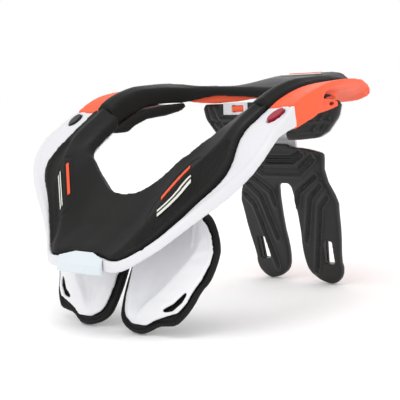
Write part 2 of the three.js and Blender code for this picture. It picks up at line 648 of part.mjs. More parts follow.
// The outline of a band of even width that follows a line of points.
function bandAlong(line, width) {
  const sides = [[], []];
  line.forEach((point, i) => {
    const before = line[Math.max(i - 1, 0)];
    const after = line[Math.min(i + 1, line.length - 1)];
    const way = new THREE.Vector2(after[0] - before[0], after[1] - before[1]).normalize();
    sides[0].push([point[0] - way.y * width / 2, point[1] + way.x * width / 2]);
    sides[1].unshift([point[0] + way.y * width / 2, point[1] - way.x * width / 2]);
  });
  return [...sides[0], ...sides[1]];
}

// A piece kept clear of its neighbours: each is cut away where it lies and where it lies when moved by
// a gap along the given way, and the largest body that is left is kept.
function clearOf(geometry, neighbours, way) {
  let solid = solidOf(geometry);
  for (const neighbour of neighbours) {
    const other = solidOf(neighbour);
    solid = solid.subtract(other).subtract(other.translate(way.map((v) => v * GAP)));
  }
  const bodies = solid.decompose().sort((a, b) => b.volume() - a.volume());
  return geometryOf(bodies[0]);
}

function cut(geometry, tools) {
  return geometryOf(tools.reduce((solid, tool) => solid.subtract(solidOf(tool)), solidOf(geometry)));
}

// Chest pads: outline from the lowest point up the middle side and down the outer side.
const CHEST_OUTLINE = [
  { across: 0.358, up: 0.000 },
  { across: 0.265, up: 0.007 },
  { across: 0.144, up: 0.045 },
  { across: 0.072, up: 0.104 },
  { across: 0.049, up: 0.177 },
  { across: 0.036, up: 0.260 },
  { across: 0.026, up: 0.354 },
  { across: 0.026, up: 0.521 },
  { across: 0.062, up: 0.708 },
  { across: 0.155, up: 0.854 },
  { across: 0.309, up: 0.969 },
  { across: 0.392, up: 1.000 },
  { across: 0.619, up: 1.000 },
  { across: 0.742, up: 0.958 },
  { across: 0.813, up: 0.906 },
  { across: 0.898, up: 0.812 },
  { across: 0.965, up: 0.704 },
  { across: 0.975, up: 0.625 },
  { across: 0.965, up: 0.521 },
  { across: 0.945, up: 0.444 },
  { across: 0.884, up: 0.375 },
  { across: 0.844, up: 0.260 },
  { across: 0.794, up: 0.177 },
  { across: 0.720, up: 0.101 },
  { across: 0.619, up: 0.089 },
  { across: 0.533, up: 0.078 },
  { across: 0.430, up: 0.020 },
];

// Chest shields, rows from the bottom up: two ridges part at the bottom with a hollow between them.
// Places are shares of CHEST_HALF and CHEST_HEIGHT, the rise a share of SHIELD_RISE.
const SHIELD = [
  { up: 0.083, inner: 0.260, ridge: 0.309, slant: 0.392, outer: 0.433, rise: 0.40 },
  { up: 0.125, inner: 0.168, ridge: 0.258, slant: 0.309, outer: 0.505, rise: 0.65 },
  { up: 0.167, inner: 0.131, ridge: 0.242, slant: 0.335, outer: 0.619, rise: 0.85 },
  { up: 0.208, inner: 0.116, ridge: 0.227, slant: 0.361, outer: 0.742, rise: 0.95 },
  { up: 0.281, inner: 0.095, ridge: 0.206, slant: 0.433, outer: 0.804, rise: 1.00 },
  { up: 0.375, inner: 0.090, ridge: 0.173, slant: 0.546, outer: 0.840, rise: 1.00 },
  { up: 0.469, inner: 0.080, ridge: 0.149, slant: 0.629, outer: 0.897, rise: 1.00 },
  { up: 0.583, inner: 0.070, ridge: 0.134, slant: 0.728, outer: 0.938, rise: 1.00 },
  { up: 0.688, inner: 0.064, ridge: 0.134, slant: 0.804, outer: 0.938, rise: 0.95 },
  { up: 0.781, inner: 0.075, ridge: 0.155, slant: 0.814, outer: 0.887, rise: 0.90 },
  { up: 0.875, inner: 0.126, ridge: 0.206, slant: 0.732, outer: 0.804, rise: 0.75 },
  { up: 0.938, inner: 0.229, ridge: 0.299, slant: 0.639, outer: 0.701, rise: 0.55 },
];

const SHIELD_WINDOW = [
  { across: 0.546, up: 0.198 },
  { across: 0.680, up: 0.271 },
  { across: 0.804, up: 0.396 },
  { across: 0.763, up: 0.292 },
  { across: 0.680, up: 0.219 },
];

function chestShield() {
  const rings = SHIELD.map((row) => {
    const z = row.up * CHEST_HEIGHT;
    const rise = row.rise * SHIELD_RISE;
    const spread = THREE.MathUtils.clamp((row.slant - row.ridge) * CHEST_HALF / (3 * SHIELD_RISE), 0, 1);
    const hollow = rise - spread * (rise - SHIELD_WALL - GAP);
    const mid = THREE.MathUtils.lerp(row.ridge, row.slant, 0.5);
    const near = THREE.MathUtils.lerp(row.ridge, row.slant, 0.2);
    const far = THREE.MathUtils.lerp(row.ridge, row.slant, 0.8);
    const front = [
      [row.inner, SHIELD_WALL],
      [row.ridge, rise],
      [near, THREE.MathUtils.lerp(rise, hollow, 0.7)],
      [mid, hollow],
      [far, THREE.MathUtils.lerp(rise, hollow, 0.7)],
      [row.slant, rise],
      [row.outer, SHIELD_WALL],
    ];
    const back = front.map(([x, lift]) => [x, Math.max(lift - SHIELD_WALL, 0)]).reverse();
    return [...front, ...back].map(([x, lift]) => (
      [x * CHEST_HALF, CHEST_BASE_Y + CHEST_LEAN * z - GAP - lift, z]
    ));
  });
  const windowLine = pointsOf(SHIELD_WINDOW, CHEST_HALF, 0, CHEST_HEIGHT);
  const opening = standing(windowLine, [], 3 * SHIELD_RISE, 0, CHEST_BASE_Y, CHEST_LEAN, -2 * SHIELD_RISE);
  return cut(loft(rings, (point) => [point[0], point[1]]), [opening]);
}

// Bracket from the top of a chest pad up to the underside of the frame.
function chestBracket() {
  const foot = CHEST_HEIGHT + GAP;
  const footY = CHEST_BASE_Y + CHEST_LEAN * foot;
  const side = [
    [footY, foot],
    [footY + BRACKET_DEPTH, foot],
    [BRACKET_TOP_Y + 2 * BRACKET_DEPTH, BRACKET_TOP],
    [BRACKET_TOP_Y - 2 * BRACKET_DEPTH, BRACKET_TOP],
    [BRACKET_TOP_Y - BRACKET_DEPTH, BRACKET_TOP - BRACKET_DEPTH],
  ];
  const rings = [-1, 1].map((end) => side.map(([y, z]) => [BRACKET_X + end * BRACKET_WIDTH / 2, y, z]));
  const arm = loft(rings, (point) => [point[1], point[2]]);
  const above = geometryOf(frame);
  return clearOf(arm, [above, mirrored(above), chestFoam], [0, 1, -1]);
}
const chestLine = settled(softened(pointsOf(CHEST_OUTLINE, CHEST_HALF, 0, CHEST_HEIGHT)));
bothSides('chest_pad', standing(chestLine, [], CHEST_PAD, CHEST_BEVEL, CHEST_BASE_Y, CHEST_LEAN), 'foam');
bothSides('chest_shield', chestShield(), 'white');
bothSides('chest_bracket', chestBracket(), 'white');

// Shoulder guards: walls that carry the skirt of the shell on towards the back.
// Widths are shares of GUARD_HALF, places along of LENGTH and heights of HEIGHT.
const GUARD = [
  { across: 1.000, along: 0.414, low: 0.812, high: 0.898 },
  { across: 0.956, along: 0.458, low: 0.827, high: 0.904 },
  { across: 0.913, along: 0.502, low: 0.840, high: 0.904 },
  { across: 0.833, along: 0.589, low: 0.850, high: 0.898 },
  { across: 0.794, along: 0.628, low: 0.855, high: 0.893 },
  { across: 0.766, along: 0.662, low: 0.863, high: 0.881 },
];

function shoulderGuard() {
  const rings = GUARD.map((row) => {
    const x = row.across * GUARD_HALF;
    const y = row.along * LENGTH;
    return [
      [x, y, row.low * HEIGHT],
      [x, y, row.high * HEIGHT],
      [x - GUARD_WALL, y, row.high * HEIGHT],
      [x - GUARD_WALL, y, row.low * HEIGHT],
    ];
  });
  const slot = new THREE.CylinderGeometry(SLOT_HEIGHT / 2, SLOT_HEIGHT / 2, GUARD_HALF, 10);
  slot.rotateZ(Math.PI / 2);
  slot.scale(1, SLOT_LENGTH / SLOT_HEIGHT, 1);
  slot.translate(GUARD_HALF, SLOT_Y, SLOT_Z);
  return cut(loft(rings, acrossAndUp), [slot]);
}
bothSides('shoulder_guard', clearOf(shoulderGuard(), [orangeShell], [-1, 0, -1]), 'orange');

// Shoulder pads hang under the ring. Rows hold the place along, the fullness and the underside.
const SHOULDER = [
  { along: 0.364, bulge: 0.10, low: 0.792 },
  { along: 0.387, bulge: 0.75, low: 0.789 },
  { along: 0.423, bulge: 1.00, low: 0.789 },
  { along: 0.447, bulge: 1.00, low: 0.815 },
  { along: 0.498, bulge: 1.00, low: 0.843 },
  { along: 0.577, bulge: 1.00, low: 0.853 },
  { along: 0.628, bulge: 0.85, low: 0.868 },
  { along: 0.656, bulge: 0.45, low: 0.888 },
];

// Inner face of the guard at a place along, and the height of the lower edge of the ring's curtain.
function guardInside(y) {
  const i = Math.max(GUARD.findIndex((row) => row.along * LENGTH >= y), 1);
  const [a, b] = [GUARD[i - 1], GUARD[i]];
  const share = (y / LENGTH - a.along) / (b.along - a.along);
  return THREE.MathUtils.lerp(a.across, b.across, Math.min(share, 1)) * GUARD_HALF - GUARD_WALL;
}
function curtainFoot(y) {
  const i = REAR.findIndex((row) => row.wallY * LENGTH >= y);
  const deepest = Math.max(...REAR.slice(Math.max(i - 2, 0), i + 1).map((row) => row.curtain));
  const curtainDrop = RING_FOAM * (deepest - 0.5);
  const { angle } = plateAt(y);
  const above = plateAt(y - RING_FOAM * Math.sin(angle));
  return above.z - RING_FOAM * Math.cos(angle) - curtainDrop;
}

function shoulderPad() {
  const rings = SHOULDER.map((row) => {
    const y = row.along * LENGTH;
    const low = row.low * HEIGHT;
    const top = curtainFoot(y) - GAP;
    const taper = 0.15 * (1 - row.bulge) * (SHOULDER_OUTER - SHOULDER_INNER);
    const inner = SHOULDER_INNER + taper;
    const outer = Math.min(SHOULDER_OUTER, guardInside(y) - 2 * GAP) - taper;
    const round = Math.min(SHOULDER_ROUND, (top - low) / 3);
    return [
      [inner, y, top],
      [inner, y, low + round],
      [inner + round, y, low],
      [outer - round, y, low],
      [outer, y, low + round],
      [outer, y, top],
    ];
  });
  return loft(rings, acrossAndUp);
}
bothSides('shoulder_pad', shoulderPad(), 'foam');

// Upper back pad: outline of one half from the notch at its top round to the middle of its bottom.
const BACK_OUTLINE = [
  { across: 0.687, up: 1.000 },
  { across: 0.964, up: 1.000 },
  { across: 1.000, up: 0.886 },
  { across: 0.970, up: 0.629 },
  { across: 0.946, up: 0.529 },
  { across: 0.819, up: 0.200 },
  { across: 0.711, up: 0.071 },
  { across: 0.651, up: 0.043 },
  { across: 0.434, up: 0.000 },
  { across: 0.277, up: 0.000 },
  { across: 0.258, up: 0.086 },
  { across: 0.247, up: 0.314 },
  { across: 0.000, up: 0.314 },
];
const BACK_GROOVES = [
  [{ across: -0.916, up: 0.514 }, { across: -0.627, up: 0.486 },
    { across: 0.627, up: 0.486 }, { across: 0.916, up: 0.514 }],
  [{ across: -0.747, up: 0.243 }, { across: -0.410, up: 0.200 }, { across: -0.277, up: 0.200 }],
  [{ across: 0.277, up: 0.200 }, { across: 0.410, up: 0.200 }, { across: 0.747, up: 0.243 }],
];

const neckBack = REAR.at(-1).wallY * LENGTH;
const neckBackZ = plateAt(neckBack).z;
const padY = neckBack - BACK_PAD_LEAD;
const padTop = neckBackZ - BACK_PAD_DROP;
const padBottom = padTop - BACK_PAD_TALL;
const notchFloor = padTop - NOTCH_DEPTH;
const backHalf = pointsOf(BACK_OUTLINE, BACK_PAD_HALF, padBottom, BACK_PAD_TALL);
const backLine = bothHalves([[0, notchFloor], [NOTCH_HALF, notchFloor], ...backHalf]);
const groovesIn = (lines, half, floor, height, baseY, lean) => lines.map((line) => {
  const band = bandAlong(pointsOf(line, half, floor, height), GROOVE_WIDTH);
  return standing(band, [], 3 * GROOVE_DEPTH, 0, baseY, lean, -2 * GROOVE_DEPTH);
});
const backGrooves = groovesIn(BACK_GROOVES, BACK_PAD_HALF, padBottom, BACK_PAD_TALL, padY, 0);
const backBlank = standing(backLine, [], BACK_PAD_THICK, BACK_BEVEL, padY, 0);
piece('upper_back_pad', cut(backBlank, backGrooves), 'foam');

// Backing plate behind the pad: the same outline drawn in, with its lower corners showing.
const plateLine = bothHalves([[0, notchFloor], [NOTCH_HALF + BACK_PLATE, notchFloor],
  ...backHalf.slice(0, -1).map(([x, z]) => (
    [x * (1 - BACK_PLATE / BACK_PAD_HALF), Math.min(z, padTop - BACK_PLATE)]
  )),
  [backHalf.at(-1)[0], backHalf.at(-1)[1]]]);
const plateY = padY + BACK_PAD_THICK + GAP;
piece('back_plate', standing(plateLine, [], BACK_PLATE, 0, plateY, 0), 'white');

// Black mount block, and the white carrier round it with a window for each orange pin.
const strutY = plateY + BACK_PLATE + GAP;
const mountDepth = strutY + STRUT_THICK - padY;
const mountFoot = notchFloor + GAP;
const mountTop = neckBackZ - MOUNT_DROP;
const block = standing(
  [[-MOUNT_HALF, mountFoot], [MOUNT_HALF, mountFoot], [MOUNT_HALF, mountTop], [-MOUNT_HALF, mountTop]],
  [], mountDepth, MOUNT_EDGE, padY, 0);
piece('back_mount', block, 'black');
const rectangle = (x0, x1, z0, z1) => [[x0, z0], [x1, z0], [x1, z1], [x0, z1]];
const pinZ = (mountFoot + mountTop) / 2;
const pinHole = PIN_RADIUS + GAP;
const pinHalf = PIN_LENGTH / 2 + GAP;
const carrierHalf = rectangle(MOUNT_HALF + GAP, NOTCH_HALF - GAP, mountFoot, mountTop);
const pinWindow = rectangle(PIN_X - pinHalf, PIN_X + pinHalf, pinZ - pinHole, pinZ + pinHole);
const carrierY = padY + BACK_BEVEL;
const carrier = standing(carrierHalf, [pinWindow], CARRIER_THICK, 0, carrierY, 0);
bothSides('pin_carrier', carrier, 'white');
const pin = new THREE.CylinderGeometry(PIN_RADIUS, PIN_RADIUS, PIN_LENGTH, 12);
pin.rotateZ(Math.PI / 2);
pin.translate(PIN_X, carrierY + CARRIER_THICK / 2, pinZ);
bothSides('strut_pin', pin, 'orange');

// Leg panel: outline of one half from the top middle down the outer side, up to the fork.
const LEG_OUTLINE = [
  { across: 0.000, up: 1.000 },
  { across: 0.183, up: 0.996 },
  { across: 0.217, up: 0.976 },
  { across: 0.550, up: 0.967 },
  { across: 0.793, up: 0.943 },
  { across: 0.873, up: 0.930 },
  { across: 0.800, up: 0.782 },
  { across: 0.992, up: 0.605 },
  { across: 0.967, up: 0.517 },
  { across: 0.942, up: 0.369 },
  { across: 0.858, up: 0.170 },
  { across: 0.883, up: 0.125 },
  { across: 0.850, up: 0.066 },
  { across: 0.750, up: 0.022 },
  { across: 0.633, up: 0.000 },
  { across: 0.483, up: 0.013 },
  { across: 0.383, up: 0.030 },
  { across: 0.217, up: 0.081 },
  { across: 0.167, up: 0.155 },
  { across: 0.150, up: 0.258 },
  { across: 0.183, up: 0.406 },
  { across: 0.158, up: 0.679 },
  { across: 0.090, up: 0.717 },
  { across: 0.000, up: 0.716 },
];
const LEG_SLOT = [
  { across: 0.600, up: 0.310 },
  { across: 0.767, up: 0.310 },
  { across: 0.758, up: 0.148 },
  { across: 0.550, up: 0.148 },
];
// Grooves pressed into the foam: bars across the top, and chevrons down each leg.
const LEG_BARS = [
  [{ across: 0.000, up: 0.900 }, { across: 0.240, up: 0.900 }, { across: 0.433, up: 0.937 }],
  [{ across: 0.000, up: 0.869 }, { across: 0.283, up: 0.869 }, { across: 0.483, up: 0.923 }],
  [{ across: 0.000, up: 0.823 }, { across: 0.367, up: 0.823 }, { across: 0.667, up: 0.915 }],
  [{ across: 0.000, up: 0.790 }, { across: 0.390, up: 0.790 }, { across: 0.700, up: 0.893 }],
];
const LEG_CHEVRONS = [
  [{ across: 0.677, up: 0.773 }, { across: 0.283, up: 0.656 }, { across: 0.225, up: 0.561 }],
  [{ across: 0.745, up: 0.711 }, { across: 0.505, up: 0.617 }, { across: 0.300, up: 0.310 }],
  [{ across: 0.843, up: 0.630 }, { across: 0.675, up: 0.556 }, { across: 0.405, up: 0.094 }],
];

const legTop = padBottom - LEG_GAP;
const legBaseY = padY + LEG_SETBACK - LEG_LEAN * legTop;
const legLine = settled(softened(bothHalves(pointsOf(LEG_OUTLINE, LEG_HALF, 0, legTop))));
const slotLine = pointsOf(LEG_SLOT, LEG_HALF, 0, legTop);
const flipped = (line) => line.map((row) => ({ across: -row.across, up: row.up }));
const slotLines = [slotLine, slotLine.map(([x, z]) => [-x, z]).reverse()];
const barLines = LEG_BARS.map((line) => [...flipped(line).reverse(), ...line.slice(1)]);
const legCuts = groovesIn([...barLines, ...LEG_CHEVRONS, ...LEG_CHEVRONS.map(flipped)],
  LEG_HALF, 0, legTop, legBaseY, LEG_LEAN);
const slotCuts = slotLines.map((line) => (
  standing(line, [], 4 * LEG_FOAM, 0, legBaseY, LEG_LEAN, -LEG_FOAM)
));
const legFoam = standing(legLine, [], LEG_FOAM, LEG_BEVEL, legBaseY, LEG_LEAN);
piece('leg_panel', cut(legFoam, [...slotCuts, ...legCuts]), 'foam');
const legInner = drawnIn(legLine, LEG_SHELL_INSET);
const legShell = standing(legInner, [], LEG_SHELL, 0, legBaseY, LEG_LEAN, LEG_FOAM + GAP);
piece('leg_shell', cut(legShell, slotCuts), 'black');

// White strut: upright behind the back pad, then leaning down behind the leg shell.
function backStrut() {
  const strutBend = padBottom + 1;
  const strutFoot = legTop - STRUT_LAP;
  const legBack = (z) => legBaseY + LEG_LEAN * z + LEG_FOAM + LEG_SHELL + 2 * GAP;
  const side = [
    [strutY, notchFloor],
    [strutY, strutBend + STRUT_THICK],
    [legBack(strutBend - STRUT_THICK / 2), strutBend - STRUT_THICK / 2],
    [legBack(strutFoot), strutFoot],
    [legBack(strutFoot) + STRUT_THICK, strutFoot],
    [legBack(strutBend) + STRUT_THICK, strutBend],
    [strutY + STRUT_THICK, strutBend + 2 * STRUT_THICK],
    [strutY + STRUT_THICK, notchFloor],
  ];
  const rings = [-STRUT_HALF, STRUT_HALF].map((x) => side.map(([y, z]) => [x, y, z]));
  return loft(rings, (point) => [point[1], point[2]]);
}
piece('back_strut', backStrut(), 'white');

// Inlay bars: thin layers that follow the foam under them. Rows give the two ends of each bar,
// as shares of HALF_WIDTH and LENGTH.
const FRONT_BARS = {
  inlay: [{ across: 0.430, along: 0.108 }, { across: 0.590, along: 0.160 }],
  accent: [{ across: 0.415, along: 0.130 }, { across: 0.550, along: 0.176 }],
};
const REAR_BARS = {
  inlay: [{ across: -0.180, along: 0.872 }, { across: 0.180, along: 0.872 }],
  accent: [{ across: -0.140, along: 0.894 }, { across: 0.140, along: 0.894 }],
};
function bar(ends, foam) {
  const line = ends.map((end) => [end.across * HALF_WIDTH, end.along * LENGTH]);
  const shape = new THREE.Shape(bandAlong(line, INLAY_WIDTH).map(([x, y]) => new THREE.Vector2(x, y)));
  const tall = new THREE.ExtrudeGeometry(shape, { depth: 2 * HEIGHT, bevelEnabled: false });
  const base = solidOf(foam);
  return geometryOf(solidOf(tall)
    .intersect(base.translate([0, 0, GAP + INLAY_THICK]))
    .subtract(base.translate([0, 0, GAP])));
}
bothSides('front_inlay', bar(FRONT_BARS.inlay, chestFoam), 'white');
bothSides('front_accent', bar(FRONT_BARS.accent, chestFoam), 'orange');
piece('rear_inlay', bar(REAR_BARS.inlay, ringFoam), 'white');
piece('rear_accent', bar(REAR_BARS.accent, ringFoam), 'orange');

// The origin lies at the middle of the box, on the surface that the brace stands on.
brace.position.y = -LENGTH / 2;

export default brace;
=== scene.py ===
import math

import bmesh
import bpy
import numpy as np
from mathutils import Euler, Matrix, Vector
from mathutils.kdtree import KDTree


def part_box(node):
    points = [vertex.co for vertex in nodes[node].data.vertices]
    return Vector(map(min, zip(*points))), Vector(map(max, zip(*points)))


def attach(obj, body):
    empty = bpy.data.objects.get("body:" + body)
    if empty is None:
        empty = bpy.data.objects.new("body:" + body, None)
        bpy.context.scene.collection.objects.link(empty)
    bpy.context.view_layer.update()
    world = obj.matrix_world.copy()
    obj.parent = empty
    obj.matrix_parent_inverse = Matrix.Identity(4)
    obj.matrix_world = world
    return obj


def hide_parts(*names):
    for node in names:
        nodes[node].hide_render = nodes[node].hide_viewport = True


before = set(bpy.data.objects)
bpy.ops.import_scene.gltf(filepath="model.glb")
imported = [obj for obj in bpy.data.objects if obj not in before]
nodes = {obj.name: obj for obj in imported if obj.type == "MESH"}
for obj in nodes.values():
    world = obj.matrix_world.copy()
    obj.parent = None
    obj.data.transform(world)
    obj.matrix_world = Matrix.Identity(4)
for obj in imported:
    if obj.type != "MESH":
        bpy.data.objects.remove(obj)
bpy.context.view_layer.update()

# The view: a long lens in front of the rider's left shoulder, level with the collar, turned by three
# degrees as the photograph is.
lens = bpy.data.cameras.new("view")
lens.lens = 99.0
lens.sensor_width = 36.0
lens.dof.use_dof = False
view = bpy.data.objects.new("view", lens)
view.location = (0.67556, -0.70223, 0.19625)
view.rotation_euler = Euler([math.radians(a) for a in (83.8832, 3.0039, 44.5063)])
bpy.context.scene.collection.objects.link(view)
bpy.context.scene.camera = view


# Studio: a pale matt floor and wide soft lamps under a white sky. The brightest lamp hangs above the
# front, a little to the rider's left.
def lamp(name, place, aim, size, power):
    """A square lamp of size metres and power watts at place, turned to aim."""
    light = bpy.data.lights.new(name, "AREA")
    light.shape = "SQUARE"
    light.size = size
    light.energy = power
    holder = bpy.data.objects.new(name, light)
    holder.location = place
    holder.rotation_euler = (Vector(aim) - Vector(place)).to_track_quat("-Z", "Y").to_euler()
    bpy.context.scene.collection.objects.link(holder)


lamp("lamp_over", (0.3, -0.5, 1.6), (0, 0, 0.1), 0.7, 5)
lamp("lamp_left", (1.5, 0.2, 0.7), (0, 0, 0.12), 0.8, 2.5)
lamp("lamp_front", (-0.3, -1.7, 0.5), (0, 0, 0.1), 1.0, 3)
lamp("lamp_back", (-1.0, 1.2, 0.9), (0, 0, 0.15), 0.8, 3)

sky = bpy.data.worlds.new("studio")
sky.use_nodes = True
sky.node_tree.nodes["Background"].inputs["Color"].default_value = (1.0, 1.0, 1.0, 1)
sky.node_tree.nodes["Background"].inputs["Strength"].default_value = 1.0
bpy.context.scene.world = sky
bpy.context.scene.view_settings.view_transform = "Standard"

FLOOR_REACH = 60.0
FLOOR_DROP = 0.0004
corners = [(x * FLOOR_REACH, y * FLOOR_REACH, 0) for x, y in ((-1, -1), (1, -1), (1, 1), (-1, 1))]
floor_mesh = bpy.data.meshes.new("floor")
floor_mesh.from_pydata(corners, [], [(0, 1, 2, 3)])
floor = bpy.data.objects.new("floor", floor_mesh)
floor.location.z = -FLOOR_DROP
bpy.context.scene.collection.objects.link(floor)
pale = bpy.data.materials.new("pale_floor")
pale.use_nodes = True
pale.node_tree.nodes["Principled BSDF"].inputs["Base Color"].default_value = (1.0, 1.0, 1.0, 1)
pale.node_tree.nodes["Principled BSDF"].inputs["Roughness"].default_value = 0.9
floor_mesh.materials.append(pale)


# White moulded nylon: the chest brackets in front, and the pin carriers, plate and strut at the back.
# Each is injection moulded with rounded rims and a fine satin skin.
def skin_group():
    """Fine moulded skin: a height from noise at the grain size, and a patchy value round one half."""
    group = bpy.data.node_groups.new("moulded_skin", "ShaderNodeTree")
    face = group.interface
    face.new_socket("Grain Size", in_out="INPUT", socket_type="NodeSocketFloat").default_value = 900
    face.new_socket("Patch Size", in_out="INPUT", socket_type="NodeSocketFloat").default_value = 22
    face.new_socket("Height", in_out="OUTPUT", socket_type="NodeSocketFloat")
    face.new_socket("Patches", in_out="OUTPUT", socket_type="NodeSocketFloat")
    enter = group.nodes.new("NodeGroupInput")
    leave = group.nodes.new("NodeGroupOutput")
    place = group.nodes.new("ShaderNodeTexCoord")
    grain = group.nodes.new("ShaderNodeTexNoise")
    grain.inputs["Detail"].default_value = 3
    patch = group.nodes.new("ShaderNodeTexNoise")
    patch.inputs["Detail"].default_value = 4
    for node, size in ((grain, "Grain Size"), (patch, "Patch Size")):
        group.links.new(place.outputs["Object"], node.inputs["Vector"])
        group.links.new(enter.outputs[size], node.inputs["Scale"])
    group.links.new(grain.outputs["Fac"], leave.inputs["Height"])
    group.links.new(patch.outputs["Fac"], leave.inputs["Patches"])
    return group


moulded_skin = skin_group()
GRAIN_HEIGHT = 0.0002


def moulded(name, colour, worn, rough, grain, bump, spread=0.12, shine=0.35):
    """A material of moulded_skin: colour drifts to worn over the patches, roughness by spread. shine is
    the specular level."""
    material = bpy.data.materials.new(name)
    material.use_nodes = True
    tree = material.node_tree
    shader = tree.nodes["Principled BSDF"]
    shader.inputs["Specular IOR Level"].default_value = shine
    skin = tree.nodes.new("ShaderNodeGroup")
    skin.node_tree = moulded_skin
    skin.inputs["Grain Size"].default_value = grain
    tint = tree.nodes.new("ShaderNodeMix")
    tint.data_type = "RGBA"
    tint.inputs["A"].default_value = (*colour, 1)
    tint.inputs["B"].default_value = (*worn, 1)
    gloss = tree.nodes.new("ShaderNodeMapRange")
    gloss.inputs["From Min"].default_value = 0.3
    gloss.inputs["From Max"].default_value = 0.7
    gloss.inputs["To Min"].default_value = rough - spread / 2
    gloss.inputs["To Max"].default_value = rough + spread / 2
    relief = tree.nodes.new("ShaderNodeBump")
    relief.inputs["Strength"].default_value = bump
    relief.inputs["Distance"].default_value = GRAIN_HEIGHT
    tree.links.new(skin.outputs["Patches"], tint.inputs["Factor"])
    tree.links.new(skin.outputs["Patches"], gloss.inputs["Value"])
    tree.links.new(skin.outputs["Height"], relief.inputs["Height"])
    tree.links.new(tint.outputs["Result"], shader.inputs["Base Color"])
    tree.links.new(gloss.outputs["Result"], shader.inputs["Roughness"])
    tree.links.new(relief.outputs["Normal"], shader.inputs["Normal"])
    return material


WELD = 0.00001


def shell(node, material, rim, sharp=32):
    """The CAD node with rounded rims: welded, bevelled by rim metres where faces turn by more than sharp
    degrees, and shaded smooth."""
    piece = nodes[node]
    piece.data.materials.clear()
    piece.data.materials.append(material)
    piece.data.polygons.foreach_set("use_smooth", np.ones(len(piece.data.polygons), bool))
    weld = piece.modifiers.new("weld", "WELD")
    weld.merge_threshold = WELD
    edge = piece.modifiers.new("rim", "BEVEL")
    edge.width = rim
    edge.segments = 3
    edge.limit_method = "ANGLE"
    edge.angle_limit = math.radians(sharp)
    even = piece.modifiers.new("even", "WEIGHTED_NORMAL")
    even.keep_sharp = True
    return piece


white = moulded("white_nylon", (0.71, 0.71, 0.735), (0.66, 0.66, 0.685), rough=0.36, grain=1400, bump=0.06)
for side in ("left", "right"):
    shell(f"chest_bracket_{side}", white, rim=0.001)
    shell(f"pin_carrier_{side}", white, rim=0.0006)
shell("back_plate", white, rim=0.0008)
shell("back_strut", white, rim=0.001)


def recast(name, node, voxel, rounds, material, body, shape=None):
    """A new skin for a CAD solid: its mesh rebuilt on a grid of voxels, its corners rounded by rounds of
    smoothing, and each point moved along its normal by shape(points, normals) metres."""
    mesh = nodes[node].data.copy()
    mesh.transform(nodes[node].matrix_world)
    clean = bmesh.new()
    clean.from_mesh(mesh)
    bmesh.ops.remove_doubles(clean, verts=clean.verts, dist=WELD)
    clean.to_mesh(mesh)
    clean.free()
    draft = bpy.data.objects.new(name + "_draft", mesh)
    bpy.context.scene.collection.objects.link(draft)
    grid = draft.modifiers.new("grid", "REMESH")
    grid.mode = "VOXEL"
    grid.voxel_size = voxel
    soft = draft.modifiers.new("soft", "SMOOTH")
    soft.factor = 0.5
    soft.iterations = rounds
    bpy.context.view_layer.update()
    skin = bpy.data.meshes.new_from_object(draft.evaluated_get(bpy.context.evaluated_depsgraph_get()))
    bpy.data.objects.remove(draft)
    skin.name = name
    skin.materials.clear()
    skin.materials.append(material)
    skin.polygons.foreach_set("use_smooth", np.ones(len(skin.polygons), bool))
    points = np.empty(3 * len(skin.vertices))
    skin.vertices.foreach_get("co", points)
    points = points.reshape(-1, 3)
    normals = np.empty(3 * len(skin.vertices))
    skin.vertices.foreach_get("normal", normals)
    normals = normals.reshape(-1, 3)
    if shape is not None:
        points = points + normals * shape(points, normals)[:, None]
        skin.vertices.foreach_set("co", points.ravel())
        skin.update()
    piece = bpy.data.objects.new(name, skin)
    bpy.context.scene.collection.objects.link(piece)
    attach(piece, body)
    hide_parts(node)
    return piece


def away(flat, line):
    """Distance of flat points from a line of points, the least over its segments."""
    line = np.asarray(line, float)
    start, way = line[:-1], np.diff(line, axis=0)
    offset = flat[:, None, :] - start[None]
    share = np.clip((offset * way).sum(-1) / (way * way).sum(-1), 0, 1)
    return np.linalg.norm(offset - share[..., None] * way, axis=-1).min(axis=1)


def ramp(value, low, high):
    """Zero below low, one above high, with a smooth rise between."""
    share = np.clip((value - low) / (high - low), 0, 1)
    return share * share * (3 - 2 * share)


def bell(value, middle, width):
    """One at the middle and falling off to both sides: e to the minus square of the distance in widths."""
    return np.exp(-((value - middle) / width) ** 2)


def folded(points, axis):
    """Flat points that are the same for both sides of the brace: the size of x, and y or z by axis."""
    return np.column_stack([np.abs(points[:, 0]), points[:, axis]])


# Front frame: the bent white shelf with its two arms, whose rim rolls over in a round of about 3 mm. A
# crease runs along the arms 5 mm inside the rim, where the band turns down to it.
FRAME_EDGE = np.array([
    (0.0623, -0.1443), (0.0830, -0.1307), (0.1030, -0.1198), (0.1222, -0.1092), (0.1336, -0.0983),
    (0.1370, -0.0847), (0.1354, -0.0715), (0.1345, -0.0583), (0.1312, -0.0397)])
# The button's pocket is an oval round its middle, lying in the slope of the arm's end and turned a
# little in it.
BUTTON = np.mean([np.array(corner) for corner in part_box("release_button")], axis=0)
POCKET_SLOPE = math.radians(31.0)
POCKET_TURN = 0.2
POCKET_HALF_LENGTH = 0.0100
POCKET_HALF_WIDTH = 0.0062


